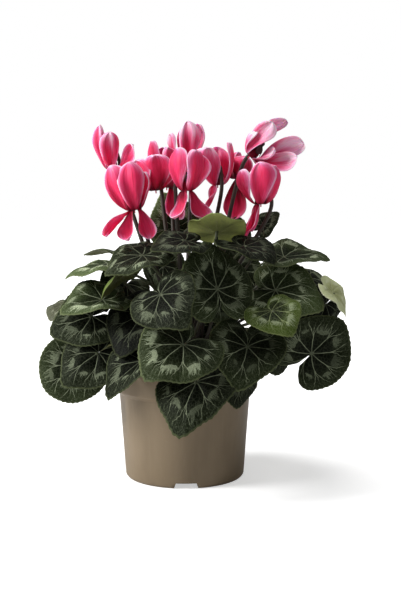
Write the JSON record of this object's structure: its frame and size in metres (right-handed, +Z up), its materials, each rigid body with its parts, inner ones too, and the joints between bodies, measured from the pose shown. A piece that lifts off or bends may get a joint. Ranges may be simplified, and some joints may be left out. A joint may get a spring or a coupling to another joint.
{
  "type": "potted cyclamen",
  "caption": "Flowering cyclamen with marbled heart-shaped leaves and pink upswept blooms, standing in a plain round taupe grower pot.",
  "frame": {"origin": "middle of the pot's foot, on the surface that it stands on", "axes": "+Z up the plant, -Y towards the viewer of the picture, +X to the viewer's right"},
  "size_m": [0.2498, 0.2328, 0.2969],
  "materials": {
    "pot_plastic": "matte taupe moulded polypropylene",
    "compost": "moist dark peat compost",
    "tuber_bark": "rough corky brown tuber",
    "leaf_green": "leathery dark green leaf with silver marbling and pale veins",
    "leaf_young": "thin light green young leaf with pale marbling",
    "stalk_brown": "smooth dark reddish brown flower stalk",
    "petal_pink": "satin petals, crimson at the base to hot pink with pale edges"
  },
  "bodies": {
    "root": {"pot": "pot_plastic", "soil": "compost", "tuber": "tuber_bark", "leaf_01": "leaf_green", "leaf_02": "leaf_green", "leaf_03": "leaf_green", "leaf_04": "leaf_young", "leaf_05": "leaf_green", "leaf_06": "leaf_green", "leaf_07": "leaf_young", "leaf_08": "leaf_green", "leaf_09": "leaf_green", "leaf_10": "leaf_green", "leaf_11": "leaf_green", "leaf_12": "leaf_green", "leaf_13": "leaf_green", "leaf_14": "leaf_young", "leaf_15": "leaf_green", "leaf_16": "leaf_green", "leaf_17": "leaf_young", "leaf_18": "leaf_green", "leaf_19": "leaf_green", "leaf_20": "leaf_green", "leaf_21": "leaf_green", "leaf_22": "leaf_green", "leaf_23": "leaf_green", "leaf_24": "leaf_green", "leaf_25": "leaf_green", "leaf_26": "leaf_green", "leaf_27": "leaf_green", "leaf_28": "leaf_young", "leaf_29": "leaf_green", "leaf_30": "leaf_green", "leaf_31": "leaf_green", "leaf_32": "leaf_green", "leaf_33": "leaf_green", "leaf_34": "leaf_green", "leaf_35": "leaf_green", "leaf_36": "leaf_green", "leaf_37": "leaf_green", "bloom_01_stalk": "stalk_brown", "bloom_01_corolla": "petal_pink", "bloom_02_stalk": "stalk_brown", "bloom_02_corolla": "petal_pink", "bloom_03_stalk": "stalk_brown", "bloom_03_corolla": "petal_pink", "bloom_04_stalk": "stalk_brown", "bloom_04_corolla": "petal_pink", "bloom_05_stalk": "stalk_brown", "bloom_05_corolla": "petal_pink", "bloom_06_stalk": "stalk_brown", "bloom_06_corolla": "petal_pink", "bloom_07_stalk": "stalk_brown", "bloom_07_corolla": "petal_pink", "bloom_08_stalk": "stalk_brown", "bloom_08_corolla": "petal_pink", "bloom_09_stalk": "stalk_brown", "bloom_09_corolla": "petal_pink", "bloom_10_stalk": "stalk_brown", "bloom_10_corolla": "petal_pink"}
  },
  "joints": []
}
